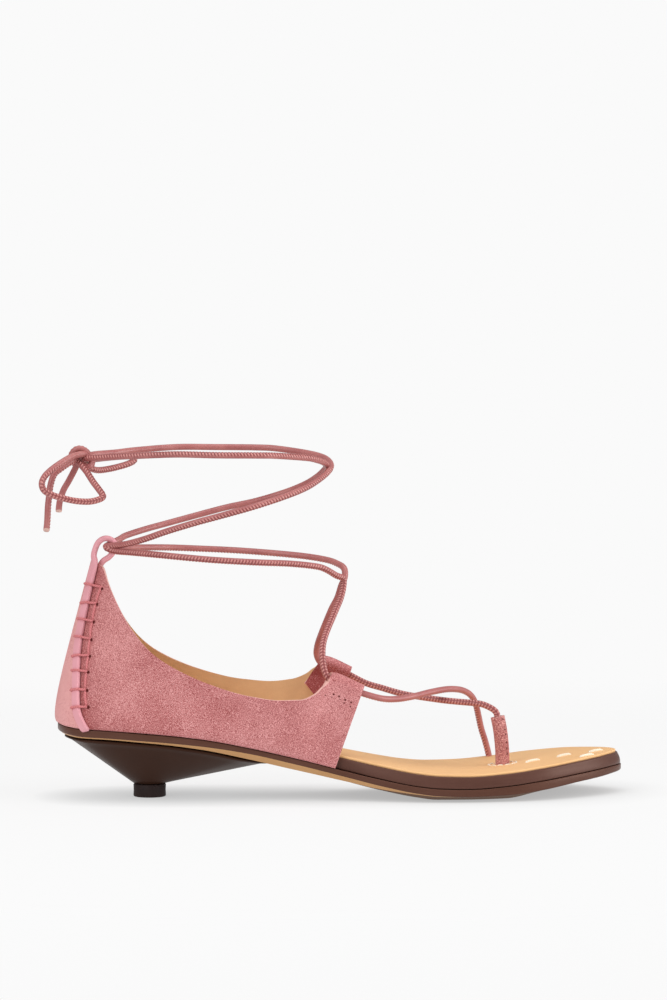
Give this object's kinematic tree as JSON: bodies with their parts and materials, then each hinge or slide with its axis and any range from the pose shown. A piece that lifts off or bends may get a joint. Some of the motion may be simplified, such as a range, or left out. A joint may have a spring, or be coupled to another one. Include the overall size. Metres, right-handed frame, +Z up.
{
  "type": "kitten heel sandal",
  "caption": "Open-toed suede sandal on a layered leather sole with a low wedge heel, a toe post, and lace ties that cross the instep and close round the ankle in a bow.",
  "frame": {"origin": "on the floor, under the middle of the shoe's box, measured without the knot, the bow and the ends of the ties", "axes": "+X towards the toe, +Y towards the medial side, +Z up"},
  "size_m": [0.2598, 0.0732, 0.1557],
  "materials": {
    "suede": "pink suede, matt, with a short mottled nap",
    "piping": "smooth pink leather, satin",
    "lace": "pink leather cord, smooth on one face and stitched on the other",
    "sole_edge": "dark painted edge, satin, with a bare tan bevel and tread",
    "platform": "dark brown, satin",
    "sock": "natural tan leather, matt, stitched at the toe",
    "heel": "dark brown lacquer, satin",
    "heel_tip": "black-brown rubber, matt"
  },
  "bodies": {
    "root": {"outsole": "sole_edge", "midsole": "platform", "insole": "sock", "heel": "heel", "heel_tip": "heel_tip", "upper": "suede", "toe_post": "suede", "back_cord": "piping", "lace_toe_lateral": "lace", "lace_toe_medial": "lace", "lace_instep": "lace", "lace_ankle": "lace", "lace_knot": "lace", "lace_bow_1": "lace", "lace_bow_2": "lace", "lace_end_1": "lace", "lace_end_2": "lace"}
  },
  "joints": []
}
